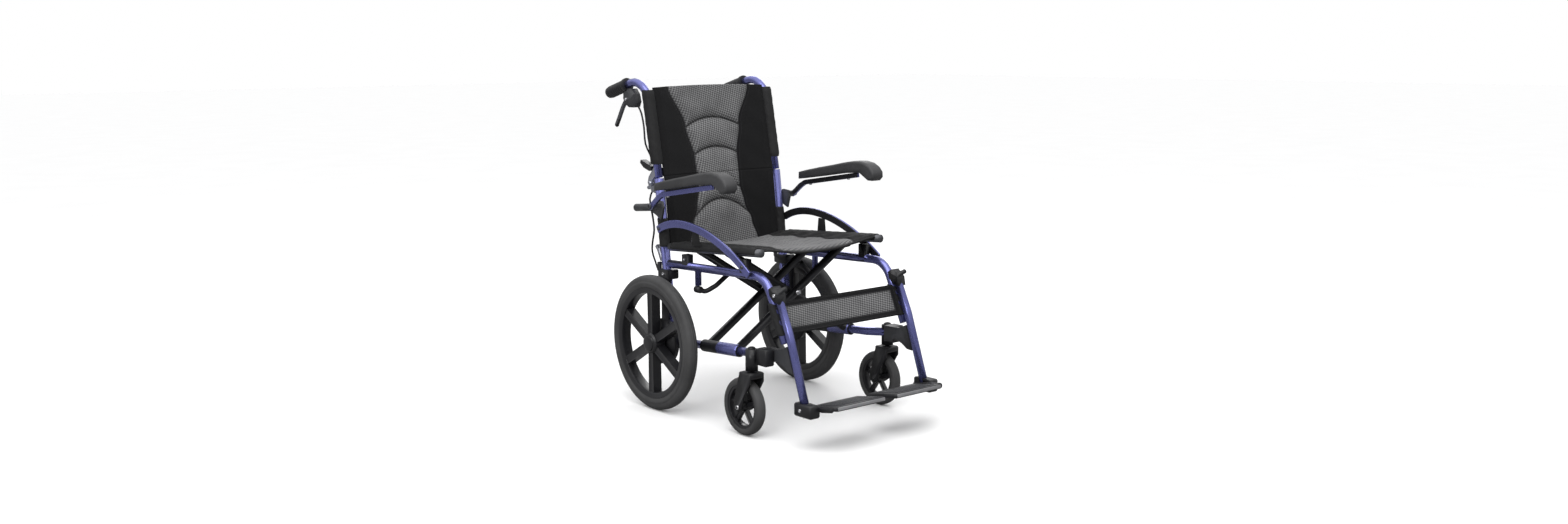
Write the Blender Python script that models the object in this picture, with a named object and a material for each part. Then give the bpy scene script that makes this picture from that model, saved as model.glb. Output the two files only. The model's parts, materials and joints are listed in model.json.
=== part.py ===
"""Transport wheelchair: a folding aluminium frame on a double cross brace, with flip-up arms and footplates.

The chair faces -Y, +Z is up and X runs across it. "right" and "left" are the occupant's, so right is at -X.
Lengths are metres. Heights are above the floor, and y is written from the rear axle and moved by AXLE_Y.
"""

import math

import bmesh
import bpy
from mathutils import Matrix, Vector

# Driving dimensions
AXLE_Y = 0.1779
WHEEL_RADIUS = 0.178
WHEEL_X = 0.251
FRAME_X = 0.198
TUBE = 0.011
CASTER_RADIUS = 0.072
CASTER_X = 0.228
CASTER_STEM_Y = -0.381
CASTER_AXLE_Y = -0.352
FOLD_TILT = math.radians(3.7)
BRACE_HEIGHT = 0.248
LOWER_RAIL_Z = 0.1773
ARM_X = 0.241
SEAT_SAG = 0.018
GAP = 0.0004

SIDES = (("right", -1), ("left", 1))

# Joint axes, as (y, z) from the rear axle
BACK_PIVOT = (0.068, 0.590)
ARMREST_PIVOT = (0.016, 0.535)
BRAKE_LEVER_PIVOT = (0.174, 0.806)
BRAKE_ARM_PIVOT = (0.019, 0.387)
FOLD_LEVER_PIVOT = (0.072, 0.6275)
FOOTPLATE_PIVOT = (0.181, 0.100)
FOOTPLATE_Y = -0.580
FOOTPLATE_TILT = math.radians(10.0)
LINK_PIVOT = (-0.126, 0.329)

# How far forward along the lower rail each tube of the two brace arms stands
BRACE_A = (0.165, 0.283)
BRACE_B = (0.141, 0.259)

for leftover in list(bpy.data.objects):
    bpy.data.objects.remove(leftover)


def at(x, y, z):
    """A point, with y measured from the rear axle."""
    return Vector((x, y + AXLE_Y, z))


def material(name, color, roughness, metallic=0.0):
    made = bpy.data.materials.new(name)
    made.use_nodes = True
    shader = made.node_tree.nodes["Principled BSDF"]
    shader.inputs["Base Color"].default_value = (*color, 1)
    shader.inputs["Roughness"].default_value = roughness
    shader.inputs["Metallic"].default_value = metallic
    return made


ANODISED = material("violet_anodised", (0.13, 0.13, 0.42), 0.3, 0.8)
BLACK_METAL = material("black_coated_metal", (0.03, 0.03, 0.032), 0.45, 0.3)
GREY_METAL = material("grey_metal", (0.32, 0.32, 0.34), 0.4, 0.8)
STEEL = material("bright_steel", (0.7, 0.7, 0.7), 0.25, 1.0)
BLACK_PLASTIC = material("black_plastic", (0.025, 0.025, 0.027), 0.5)
GREY_PLASTIC = material("grey_plastic", (0.12, 0.12, 0.12), 0.5)
PAD = material("arm_pad", (0.09, 0.09, 0.09), 0.6)
RUBBER = material("tyre_rubber", (0.07, 0.07, 0.07), 0.8)
NYLON = material("black_nylon", (0.02, 0.02, 0.02), 0.9)


# Shapes. Each function gives a new mesh object.
def mesh_object(name, shape, surface):
    """An object from a bmesh, with its faces turned outwards."""
    bmesh.ops.remove_doubles(shape, verts=shape.verts, dist=1e-6)
    bmesh.ops.recalc_face_normals(shape, faces=shape.faces)
    mesh = bpy.data.meshes.new(name)
    shape.to_mesh(mesh)
    shape.free()
    mesh.shade_smooth()
    mesh.set_sharp_from_angle(angle=math.radians(35))
    mesh.materials.append(surface)
    made = bpy.data.objects.new(name, mesh)
    bpy.context.scene.collection.objects.link(made)
    return made


def rounded(points, bend, steps=5):
    """The points of a bent tube's centre line, with an arc of radius bend at each inner point."""
    line = [Vector(points[0])]
    for before, corner, after in zip(points, points[1:], points[2:]):
        corner = Vector(corner)
        inward = (Vector(before) - corner).normalized()
        onward = (Vector(after) - corner).normalized()
        half = inward.angle(onward) / 2
        away = bend / math.tan(half)
        centre = corner + (inward + onward).normalized() * bend / math.sin(half)
        start = corner + inward * away - centre
        turn = start.rotation_difference(corner + onward * away - centre)
        for step in range(steps + 1):
            line.append(centre + turn.slerp(turn.__class__(), 1 - step / steps) @ start)
    line.append(Vector(points[-1]))
    return line


def tube(name, line, radius, surface, roundness=4):
    """A round bar along a line of points, with flat ends."""
    curve = bpy.data.curves.new(name, "CURVE")
    curve.dimensions = "3D"
    curve.bevel_depth = radius
    curve.bevel_resolution = roundness
    curve.use_fill_caps = True
    spline = curve.splines.new("POLY")
    spline.points.add(len(line) - 1)
    for point, place in zip(spline.points, line):
        point.co = (*place, 1)
    guide = bpy.data.objects.new(name + "_guide", curve)
    bpy.context.scene.collection.objects.link(guide)
    shape = bmesh.new()
    shape.from_mesh(guide.to_mesh())
    guide.to_mesh_clear()
    bpy.data.objects.remove(guide)
    return mesh_object(name, shape, surface)


def rod(name, start, end, radius, surface, sides=16):
    """A cylinder from one point to another."""
    start, end = Vector(start), Vector(end)
    shape = bmesh.new()
    turn = (end - start).to_track_quat("Z", "Y").to_matrix().to_4x4()
    place = Matrix.Translation((start + end) / 2) @ turn
    bmesh.ops.create_cone(
        shape,
        cap_ends=True,
        segments=sides,
        radius1=radius,
        radius2=radius,
        depth=(end - start).length,
        matrix=place,
    )
    return mesh_object(name, shape, surface)


def ball(name, centre, radius, surface):
    shape = bmesh.new()
    bmesh.ops.create_icosphere(shape, subdivisions=1, radius=radius, matrix=Matrix.Translation(centre))
    return mesh_object(name, shape, surface)


def box(name, low, high, surface, bevel=0.0):
    """A box between two corners, with its edges rounded if bevel is given."""
    low, high = Vector(low), Vector(high)
    shape = bmesh.new()
    size = Matrix.Diagonal((*(high - low), 1))
    bmesh.ops.create_cube(shape, size=1, matrix=Matrix.Translation((low + high) / 2) @ size)
    if bevel:
        bmesh.ops.bevel(shape, geom=shape.edges, offset=bevel, segments=1, profile=0.5, affect="EDGES")
    return mesh_object(name, shape, surface)


def plate(name, outline, x_low, x_high, surface):
    """An outline of (y, z) points, from the rear axle, given a thickness across the chair."""
    shape = bmesh.new()
    face = shape.faces.new([shape.verts.new(at(x_low, y, z)) for y, z in outline])
    walls = bmesh.ops.extrude_face_region(shape, geom=[face])
    moved = [part for part in walls["geom"] if isinstance(part, bmesh.types.BMVert)]
    bmesh.ops.translate(shape, verts=moved, vec=(x_high - x_low, 0, 0))
    return mesh_object(name, shape, surface)


def turned(name, profile, centre, surface, sides):
    """A closed ring: (radius, across) points spun about the X axis, with a flat of each side at its radius."""
    shape = bmesh.new()
    half = math.pi / sides
    points = [
        shape.verts.new(centre + Vector((across, radius * math.tan(half), radius))) for radius, across in profile
    ]
    edges = [shape.edges.new(pair) for pair in zip(points, points[1:] + points[:1])]
    bmesh.ops.spin(
        shape,
        geom=points + edges,
        cent=centre,
        axis=(1, 0, 0),
        angle=math.tau,
        steps=sides,
        use_merge=True,
    )
    return mesh_object(name, shape, surface)


def combine(target, operation, *tools):
    """Keeps a Boolean of each tool on the target and turns the tool into a hidden helper."""
    for tool in tools:
        change = target.modifiers.new(tool.name, "BOOLEAN")
        change.operation = operation
        change.solver = "EXACT"
        change.object = tool
        tool.hide_render = True
        tool.display_type = "WIRE"
    return target


def hinge_at(piece, x, y, z):
    """Moves a piece's origin to its joint's axis and leaves its shape where it is."""
    axis = at(x, y, z)
    piece.data.transform(Matrix.Translation(-axis))
    piece.location = axis
    return piece


def bezier(points, count):
    """Points along a cubic curve through its two ends."""
    a, b, c, d = (Vector(point) for point in points)
    found = []
    for step in range(count + 1):
        t = step / count
        u = 1 - t
        found.append(a * u**3 + b * 3 * u * u * t + c * 3 * u * t * t + d * t**3)
    return found


def ribbon(line, depth):
    """The outline of a flat bar of even depth, from its centre line in the (y, z) plane."""
    above, below = [], []
    for n, point in enumerate(line):
        along = (line[min(n + 1, len(line) - 1)] - line[max(n - 1, 0)]).normalized()
        across = Vector((-along.y, along.x)) * depth / 2
        above.append(point + across)
        below.append(point - across)
    return above + below[::-1]


# The side frame's lines
def lower_post_y(z):
    return 0.007 + (z - 0.324) * 0.125


def upper_post_y(z):
    return 0.0425 + (z - 0.6045) * 0.195


def rail_point(side, forward, up=0.0):
    """A point on the lower rail, or above it square to the tilted fold axis."""
    y = -forward * math.cos(FOLD_TILT) + up * math.sin(FOLD_TILT)
    z = LOWER_RAIL_Z + forward * math.sin(FOLD_TILT) + up * math.cos(FOLD_TILT)
    return at(side * FRAME_X, y, z)


def lower_post(name, side):
    """The rear upright: axle and its plate at the foot, and the back hinge's lug and pin at the top."""
    x = side * FRAME_X
    foot, top = 0.160, 0.6025
    ends = [at(x, lower_post_y(z), z) for z in (foot, top)]
    post = tube(name, ends, 0.0125, ANODISED)
    y, z = BACK_PIVOT
    lug = plate(
        name + "_lug",
        [(0.035, 0.560), (0.070, 0.566), (0.080, 0.580), (0.079, 0.598), (0.068, 0.602), (0.035, 0.584)],
        x - 0.005,
        x + 0.005,
        GREY_METAL,
    )
    pin = rod(name + "_pin", at(x - 0.014, y, z), at(x + 0.014, y, z), 0.0045, STEEL)
    knob = rod(name + "_knob", at(x, 0.072, 0.578), at(x, 0.091, 0.575), 0.005, BLACK_PLASTIC, 12)
    axle_plate = box(name + "_foot", at(x - 0.012, -0.028, 0.158), at(x + 0.014, 0.018, 0.198), GREY_METAL)
    axle = rod(name + "_axle", at(x, 0, WHEEL_RADIUS), at(side * 0.2695, 0, WHEEL_RADIUS), 0.006, STEEL)
    return combine(post, "UNION", lug, pin, knob, axle_plate, axle)


def side_rail(name, side):
    """The seat-level rail that bends down into the front tube, with its two saddles and the link's stub."""
    x = side * FRAME_X
    line = rounded([at(x, -0.0005, 0.3812), at(x, -0.402, 0.395), at(x, -0.4727, 0.2435)], 0.065)
    rail = tube(name, line, TUBE, ANODISED)
    saddles = []
    for n, y in enumerate((-0.080, -0.322)):
        top = 0.4095 - 0.0647 * y
        saddles.append(
            box(f"{name}_saddle_{n}", at(x - 0.010, y - 0.011, 0.386), at(x + 0.010, y + 0.011, top), BLACK_PLASTIC)
        )
        groove = rod(
            f"{name}_groove_{n}", rail_point(side, 0, BRACE_HEIGHT), rail_point(side, 0.4, BRACE_HEIGHT), 0.0113, STEEL
        )
        combine(saddles[-1], "DIFFERENCE", groove)
    stub = rod(name + "_stub", at(x, -0.126, 0.3395), at(x, -0.126, 0.386), 0.0085, ANODISED, 12)
    return combine(rail, "UNION", *saddles, stub)


def lower_rail(name, side):
    """The bottom rail, which the brace turns on, with the upright caster housing on its front end."""
    bend = rail_point(side, 0.335)
    housing_x = side * CASTER_X
    rail = tube(
        name,
        [rail_point(side, 0.0295), bend, at(housing_x - side * 0.006, CASTER_STEM_Y, bend.z + 0.002)],
        TUBE,
        ANODISED,
    )
    low, high = 0.1665, 0.2195
    housing = rod(
        name + "_housing",
        at(housing_x, CASTER_STEM_Y, low),
        at(housing_x, CASTER_STEM_Y, high),
        0.0155,
        BLACK_METAL,
    )
    bore = rod(
        name + "_bore",
        at(housing_x, CASTER_STEM_Y, low - 0.01),
        at(housing_x, CASTER_STEM_Y, high - 0.004),
        0.0068,
        STEEL,
    )
    combine(rail, "UNION", housing)
    return combine(rail, "DIFFERENCE", bore)


def arc_guard(name, side):
    """The flat bar that arches from the rear upright to the front of the side rail."""
    centre = bezier([(0.024, 0.470), (-0.06, 0.518), (-0.22, 0.496), (-0.358, 0.396)], 14)
    inner, outer = side * 0.2112, side * 0.2202
    return plate(name, ribbon(centre, 0.020), inner, outer, ANODISED)


def upper_post(name, side):
    """The folding half of the back upright, bent rearwards into the push handle, with the hinge's yoke."""
    x = side * FRAME_X
    low = 0.6045
    line = [
        at(x, upper_post_y(low), low),
        at(x, upper_post_y(0.868), 0.868),
        at(x, 0.1785, 0.845),
    ]
    post = tube(name, rounded(line, 0.068, 6), TUBE, ANODISED)
    y, z = BACK_PIVOT
    yoke = [(0.040, 0.612), (0.061, 0.5965), (0.064, 0.582), (0.074, 0.580), (0.079, 0.590), (0.074, 0.606), (0.046, 0.636)]
    for n, across in enumerate((-0.0108, 0.0056)):
        ear = plate(f"{name}_ear_{n}", yoke, x + across, x + across + 0.0052, GREY_METAL)
        combine(post, "UNION", ear)
    bore = rod(name + "_bore", at(x - 0.02, y, z), at(x + 0.02, y, z), 0.0050, STEEL)
    return combine(post, "DIFFERENCE", bore)


def handle_direction():
    return Vector((0, math.cos(math.radians(15)), -math.sin(math.radians(15))))


def handle_grip(name, side):
    """The moulded push grip, with its wider collar."""
    start = at(side * FRAME_X, 0.1790, 0.8448)
    along = handle_direction()
    grip = rod(name, start, start + along * 0.096, 0.0165, BLACK_PLASTIC)
    collar = rod(name + "_collar", start, start + along * 0.012, 0.0185, BLACK_PLASTIC)
    return combine(grip, "UNION", collar)


def brake_housing(name, side):
    """The lever's bracket under the handle, slotted for the lever."""
    x = side * FRAME_X
    outline = [
        (0.132, 0.800), (0.138, 0.820), (0.152, 0.8345), (0.1655, 0.8340), (0.1730, 0.8255),
        (0.1860, 0.8215), (0.187, 0.808), (0.180, 0.794), (0.160, 0.785), (0.140, 0.785),
    ]
    body = plate(name, outline, x - 0.011, x + 0.011, GREY_PLASTIC)
    slot = box(name + "_slot", at(x - 0.0045, 0.162, 0.775), at(x + 0.0045, 0.200, 0.8185), STEEL)
    return combine(body, "DIFFERENCE", slot)


def brake_lever(name, side):
    """The curved blade that the attendant squeezes towards the grip, ending in a ball."""
    x = side * FRAME_X
    y, z = BRAKE_LEVER_PIVOT
    line = bezier([(y, z), (0.196, 0.808), (0.212, 0.770), (0.236, 0.737)], 6)
    blade = plate(name, ribbon(line, 0.0085), x - 0.0041, x + 0.0041, GREY_METAL)
    return hinge_at(combine(blade, "UNION", ball(name + "_ball", at(x, 0.237, 0.735), 0.0065, BLACK_PLASTIC)), x, y, z)


def armrest_bracket(name, side):
    """The gusset plate beside the upright, with the arm's pivot boss and the lock barrel behind it."""
    inner, outer = side * 0.2112, side * 0.2172
    y, z = ARMREST_PIVOT
    gusset = plate(
        name,
        [(0.008, 0.498), (0.030, 0.508), (0.052, 0.516), (0.052, 0.538), (0.026, 0.548), (0.004, 0.546), (-0.002, 0.530)],
        inner,
        outer,
        GREY_PLASTIC,
    )
    boss = rod(name + "_boss", at(side * 0.214, y, z), at(side * 0.2355, y, z), 0.0085, GREY_PLASTIC)
    x = side * 0.2172
    barrel = rod(name + "_barrel", at(x, 0.045, 0.5280), at(x, 0.122, 0.5205), 0.0100, GREY_PLASTIC)
    return combine(gusset, "UNION", boss, barrel)


def armrest_bar(name, side):
    """The cranked flat bar from the pivot up to the pad."""
    y, z = ARMREST_PIVOT
    line = [Vector(point) for point in ((y + 0.006, z - 0.005), (-0.018, 0.560), (-0.036, 0.5695), (-0.252, 0.6045))]
    bar = plate(name, ribbon(line, 0.0135), side * 0.2360, side * 0.2460, ANODISED)
    return hinge_at(bar, side * ARM_X, y, z)


def armrest_pad(name, side):
    """The moulded arm pad, thicker and rounded at its drooping front end."""
    outline = [
        (-0.022, 0.577), (-0.024, 0.600), (-0.110, 0.617), (-0.205, 0.635), (-0.255, 0.643),
        (-0.285, 0.643), (-0.312, 0.633), (-0.328, 0.617), (-0.329, 0.601), (-0.318, 0.592),
        (-0.300, 0.593), (-0.284, 0.602), (-0.262, 0.6155),
    ]
    pad = plate(name, outline, side * 0.2200, side * 0.2650, PAD)
    return hinge_at(pad, side * ARM_X, *ARMREST_PIVOT)


def fold_lever(name, side):
    """The release lever behind the back hinge."""
    x = side * FRAME_X
    outline = [(0.0625, 0.6225), (0.074, 0.6205), (0.100, 0.628), (0.116, 0.640), (0.113, 0.648), (0.096, 0.643), (0.0655, 0.6335)]
    return hinge_at(plate(name, outline, x - 0.009, x + 0.009, BLACK_PLASTIC), x, *FOLD_LEVER_PIVOT)


def seat_rail(name, side):
    """The tube along the edge of the seat, carried on top of a brace arm."""
    ends = [rail_point(side, along, BRACE_HEIGHT) for along in (0.022, 0.401)]
    return tube(name, ends, 0.0105, GREY_METAL)


def hanger_tube(name, side):
    """The leg rest's tube, clamped in front of the front tube."""
    x = side * FRAME_X
    line = rounded([at(x, -0.440, 0.368), at(x, -0.4865, 0.272), at(x, -0.5535, 0.079)], 0.12, 3)
    hanger = tube(name, line, 0.0105, ANODISED)
    clamp = plate(
        name + "_clamp",
        [(-0.4300, 0.3545), (-0.4245, 0.3700), (-0.4380, 0.3780), (-0.4600, 0.3600), (-0.4640, 0.3380), (-0.4420, 0.3430)],
        x - 0.013,
        x + 0.013,
        ANODISED,
    )
    front_tube = tube(name + "_clearance", rounded([at(x, -0.3, 0.3915), at(x, -0.402, 0.395), at(x, -0.4727, 0.2435)], 0.065), 0.0114, STEEL)
    combine(clamp, "DIFFERENCE", front_tube)
    knob = rod(name + "_knob", at(x, -0.444, 0.362), at(x, -0.474, 0.376), 0.006, STEEL, 12)
    return combine(hanger, "UNION", clamp, knob)


def footrest_bracket(name, side):
    """The clamp beside the caster housing and the fin that carries the front tube and the hanger."""
    x = side * FRAME_X
    outline = [
        (-0.408, 0.226), (-0.452, 0.226), (-0.470, 0.231), (-0.4850, 0.239),
        (-0.5075, 0.176), (-0.490, 0.177), (-0.472, 0.188), (-0.448, 0.197), (-0.408, 0.184),
    ]
    fin = plate(name, outline, x - 0.006, x + 0.006, GREY_PLASTIC)
    clamp = box(name + "_clamp", at(x - 0.006, -0.440, 0.184), at(side * 0.232, -0.402, 0.226), BLACK_PLASTIC, 0.003)
    return combine(fin, "UNION", clamp)


def caster_fork(name, side):
    """The swivelling fork: stem, crown, two trailing legs and the wheel's axle."""
    x = side * CASTER_X
    fork = box(name, at(x - 0.0225, -0.402, 0.148), at(x + 0.0225, -0.356, 0.1630), BLACK_METAL, 0.003)
    stem = rod(name + "_stem", at(x, CASTER_STEM_Y, 0.155), at(x, CASTER_STEM_Y, 0.2145), 0.0062, STEEL)
    leg = [
        (-0.400, 0.160), (-0.360, 0.160), (-0.338, 0.088), (-0.338, 0.068),
        (-0.352, 0.059), (-0.366, 0.068), (-0.374, 0.100), (-0.400, 0.140),
    ]
    legs = [
        plate(f"{name}_leg_{n}", leg, x + low, x + low + 0.0045, BLACK_METAL)
        for n, low in enumerate((-0.0225, 0.0180))
    ]
    axle = rod(
        name + "_axle",
        at(x - 0.0245, CASTER_AXLE_Y, CASTER_RADIUS),
        at(x + 0.0245, CASTER_AXLE_Y, CASTER_RADIUS),
        0.0040,
        STEEL,
    )
    combine(fork, "UNION", stem, *legs, axle)
    return hinge_at(fork, x, CASTER_STEM_Y, 0.155)


def spokes(name, centre, count, inner, outer, width, depth, surface):
    """Straight spokes from the hub to the rim, the first one upright."""
    made = []
    for n in range(count):
        spoke = box(
            f"{name}_spoke_{n}",
            Vector((-depth / 2, -width / 2, inner)),
            Vector((depth / 2, width / 2, outer)),
            surface,
        )
        spoke.data.transform(Matrix.Translation(centre) @ Matrix.Rotation(math.tau * n / count, 4, "X"))
        made.append(spoke)
    return made


def rear_wheel(name, side):
    """The moulded wheel: rim, six deep spokes and a hub closed on its outer side."""
    centre = at(side * WHEEL_X, 0, WHEEL_RADIUS)
    rim = [(0.131, -0.014), (0.1465, -0.016), (0.1465, 0.016), (0.131, 0.014)]
    wheel = turned(name, rim, centre, BLACK_PLASTIC, 36)
    hub = rod(name + "_hub", centre - Vector((side * 0.016, 0, 0)), centre + Vector((side * 0.024, 0, 0)), 0.027, BLACK_PLASTIC)
    combine(wheel, "UNION", hub, *spokes(name, centre, 6, 0.020, 0.138, 0.022, 0.026, BLACK_PLASTIC))
    bore = rod(name + "_bore", centre - Vector((side * 0.05, 0, 0)), centre + Vector((side * 0.0195, 0, 0)), 0.0065, STEEL)
    return hinge_at(combine(wheel, "DIFFERENCE", bore), side * WHEEL_X, 0, WHEEL_RADIUS)


def rear_tyre(name, side):
    """The solid rubber tyre."""
    profile = [
        (0.1469, -0.0155), (0.158, -0.0175), (0.170, -0.0165), (0.1765, -0.0105), (WHEEL_RADIUS, -0.005),
        (WHEEL_RADIUS, 0.005), (0.1765, 0.0105), (0.170, 0.0165), (0.158, 0.0175), (0.1469, 0.0155),
    ]
    tyre = turned(name, profile, at(side * WHEEL_X, 0, WHEEL_RADIUS), RUBBER, 36)
    return hinge_at(tyre, side * WHEEL_X, 0, WHEEL_RADIUS)


def caster_wheel(name, side):
    """The small moulded wheel with five spokes and a bored hub."""
    x = side * CASTER_X
    centre = at(x, CASTER_AXLE_Y, CASTER_RADIUS)
    wheel = turned(name, [(0.047, -0.009), (0.0545, -0.010), (0.0545, 0.010), (0.047, 0.009)], centre, BLACK_PLASTIC, 28)
    hub = rod(name + "_hub", centre - Vector((0.0165, 0, 0)), centre + Vector((0.0165, 0, 0)), 0.013, BLACK_PLASTIC)
    combine(wheel, "UNION", hub, *spokes(name, centre, 5, 0.009, 0.050, 0.010, 0.010, BLACK_PLASTIC))
    bore = rod(name + "_bore", centre - Vector((0.03, 0, 0)), centre + Vector((0.03, 0, 0)), 0.0045, STEEL)
    return hinge_at(combine(wheel, "DIFFERENCE", bore), x, CASTER_AXLE_Y, CASTER_RADIUS)


def caster_tyre(name, side):
    x = side * CASTER_X
    profile = [
        (0.0549, -0.0115), (0.064, -0.013), (0.0700, -0.0095), (CASTER_RADIUS, -0.004),
        (CASTER_RADIUS, 0.004), (0.0700, 0.0095), (0.064, 0.013), (0.0549, 0.0115),
    ]
    tyre = turned(name, profile, at(x, CASTER_AXLE_Y, CASTER_RADIUS), RUBBER, 28)
    return hinge_at(tyre, x, CASTER_AXLE_Y, CASTER_RADIUS)


def rear_brake(name, side):
    """The cable block clamped on the upright, its strut and the brake's backing plate beside the wheel."""
    x = side * FRAME_X
    block = box(name, at(x - 0.016, -0.020, 0.342), at(x + 0.016, 0.034, 0.3670), BLACK_METAL, 0.003)
    cheek = box(name + "_cheek", at(x - 0.016, 0.0275, 0.360), at(x - 0.006, 0.034, 0.384), BLACK_METAL)
    post = rod(name + "_post", at(x, lower_post_y(0.3), 0.3), at(x, lower_post_y(0.42), 0.42), 0.0131, STEEL)
    strut = plate(
        name + "_strut",
        [(-0.018, 0.345), (0.014, 0.345), (0.016, 0.230), (-0.016, 0.230)],
        side * 0.2120,
        side * 0.2155,
        BLACK_METAL,
    )
    middle = at(0, 0, WHEEL_RADIUS)
    drum = rod(name + "_drum", middle + Vector((side * 0.2135, 0, 0)), middle + Vector((side * 0.2300, 0, 0)), 0.060, BLACK_METAL, 24)
    bore = rod(name + "_bore", middle + Vector((side * 0.19, 0, 0)), middle + Vector((side * 0.24, 0, 0)), 0.010, STEEL)
    spacer = box(name + "_spacer", at(x + side * 0.010, -0.018, 0.342), at(x + side * 0.0175, 0.016, 0.3670), BLACK_METAL)
    combine(block, "UNION", spacer, cheek, strut, drum)
    return combine(block, "DIFFERENCE", post, bore)


def brake_arm(name, side):
    """The curved arm that the cable pulls."""
    x = side * FRAME_X
    y, z = BRAKE_ARM_PIVOT
    line = bezier([(0.0325, 0.3865), (0.0400, 0.3990), (0.0420, 0.4120), (0.0560, 0.4240)], 4)
    arm = plate(name, ribbon(line, 0.009), x - 0.0045, x + 0.0045, GREY_METAL)
    return hinge_at(arm, x, y, z)


def brake_cable(name, side):
    """The cable from the lever's housing, down behind the upright to the brake block."""
    x = side * FRAME_X
    route = [
        (0.0, 0.1325, 0.7885), (0.0, 0.118, 0.770), (0.0, 0.1075, 0.735), (0.0, 0.1015, 0.690),
        (0.016, 0.0985, 0.652), (0.019, 0.0950, 0.615), (0.016, 0.0910, 0.575), (-0.002, 0.0830, 0.545),
        (-0.003, 0.0700, 0.500), (-0.006, 0.0600, 0.465), (-0.006, 0.0690, 0.430), (-0.006, 0.0700, 0.405),
        (-0.004, 0.0600, 0.380), (-0.004, 0.0480, 0.3600), (-0.004, 0.0356, 0.3530),
    ]
    places = [at(x - side * across, y, z) for across, y, z in route]
    line = [places[0]]
    for n in range(len(places) - 1):
        a, b = places[max(n - 1, 0)], places[n]
        c, d = places[n + 1], places[min(n + 2, len(places) - 1)]
        line += bezier([b, b + (c - a) / 6, c - (d - b) / 6, c], 3)[1:]
    return tube(name, line, 0.0025, BLACK_PLASTIC, 2)


def toes_up(piece):
    """Tip a piece of the footplate hinge back about the hinge point, so the plate's front edge is the higher."""
    middle = at(0, FOOTPLATE_Y, FOOTPLATE_PIVOT[1])
    turn = Matrix.Rotation(-FOOTPLATE_TILT, 4, "X")
    piece.data.transform(Matrix.Translation(middle) @ turn @ Matrix.Translation(-middle))
    return piece


def footplate_bracket(name, side):
    """The clamp at the foot of the hanger that the footplate hinges on."""
    x = side * FRAME_X
    block = box(name, at(x - 0.0165, -0.582, 0.0800), at(x + 0.0165, -0.520, 0.1120), BLACK_PLASTIC, 0.004)
    hole = rod(name + "_hole", at(x, -0.4865, 0.272), at(x, -0.56246, 0.0532), 0.0113, STEEL)
    combine(block, "DIFFERENCE", hole)
    hinge_x, hinge_z = side * FOOTPLATE_PIVOT[0], FOOTPLATE_PIVOT[1]
    pin = rod(name + "_pin", at(hinge_x, -0.575, hinge_z), at(hinge_x, -0.5970, hinge_z), 0.004, STEEL, 12)
    ear = rod(name + "_ear", at(hinge_x, -0.574, hinge_z), at(hinge_x, -0.5825, hinge_z), 0.0065, BLACK_PLASTIC, 12)
    low, high = sorted((side * 0.170, side * 0.1886))
    rebate = box(name + "_rebate", at(low, -0.60, 0.1064), at(high, -0.51, 0.13), STEEL)
    combine(block, "DIFFERENCE", toes_up(rebate))
    return combine(block, "UNION", toes_up(ear), toes_up(pin))


def footplate(name, side):
    """The flip-up footplate, a tray with a hinge knuckle at its outer end."""
    hinge_x, hinge_z = side * FOOTPLATE_PIVOT[0], FOOTPLATE_PIVOT[1]
    inner, outer = side * 0.017, side * 0.1735
    low, high = sorted((inner, outer))
    tray = box(name, at(low, -0.632, 0.0942), at(high, -0.5300, 0.1058), BLACK_PLASTIC, 0.003)
    knuckle = rod(name + "_knuckle", at(hinge_x, -0.5840, hinge_z), at(hinge_x, -0.620, hinge_z), 0.0075, BLACK_PLASTIC, 12)
    web = box(
        name + "_web", at(min(outer, hinge_x) - 0.001, -0.620, 0.0955), at(max(outer, hinge_x) + 0.001, -0.585, 0.1045), BLACK_PLASTIC
    )
    bore = rod(name + "_bore", at(hinge_x, -0.57, hinge_z), at(hinge_x, -0.5985, hinge_z), 0.0046, STEEL, 12)
    for piece in (tray, web, knuckle, bore):
        toes_up(piece)
    combine(tray, "UNION", web, knuckle)
    return hinge_at(combine(tray, "DIFFERENCE", bore), hinge_x, FOOTPLATE_Y, hinge_z)


def link_bar(name, side):
    """The curved link under the side rail that steadies the brace."""
    x = side * FRAME_X
    y, z = LINK_PIVOT
    barrel = rod(name + "_barrel", at(x, y - 0.009, z), at(x, y + 0.009, z), 0.0092, BLACK_METAL)
    line = [(x, y, z), (x - side * 0.016, -0.134, 0.3220), (x - side * 0.040, -0.147, 0.3370), (x - side * 0.078, -0.1585, 0.3690)]
    bar = tube(name, rounded([at(*point) for point in line], 0.018, 3), 0.0065, BLACK_METAL)
    return hinge_at(combine(bar, "UNION", barrel), x, y, z)


def cross_brace(name, side, stations):
    """One arm of the double cross: two tubes rising from a sleeve on this side's lower rail to the other seat rail."""
    ends = (stations[0] - 0.015, stations[1] + 0.015)
    sleeve = rod(name, rail_point(side, ends[0]), rail_point(side, ends[1]), 0.0158, BLACK_METAL)
    tubes, holes = [], []
    for n, station in enumerate(stations):
        low, high = rail_point(side, station), rail_point(-side, station, BRACE_HEIGHT)
        short = (high - low).normalized() * 0.0075
        tubes.append(rod(f"{name}_tube_{n}", low, high - short, TUBE, BLACK_METAL))
        middle = (low + high) / 2
        across = rail_point(side, 0.03) - rail_point(side, 0)
        holes.append(rod(f"{name}_hole_{n}", middle - across, middle + across, 0.0046, STEEL, 12))
    bore = rod(name + "_bore", rail_point(side, 0.02), rail_point(side, 0.32), 0.0119, STEEL)
    seat = rod(
        name + "_seat", rail_point(-side, 0.02, BRACE_HEIGHT), rail_point(-side, 0.41, BRACE_HEIGHT), 0.0111, STEEL
    )
    combine(sleeve, "UNION", *tubes)
    combine(sleeve, "DIFFERENCE", bore, seat, *holes)
    return hinge_at(sleeve, side * FRAME_X, 0, LOWER_RAIL_Z)


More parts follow.
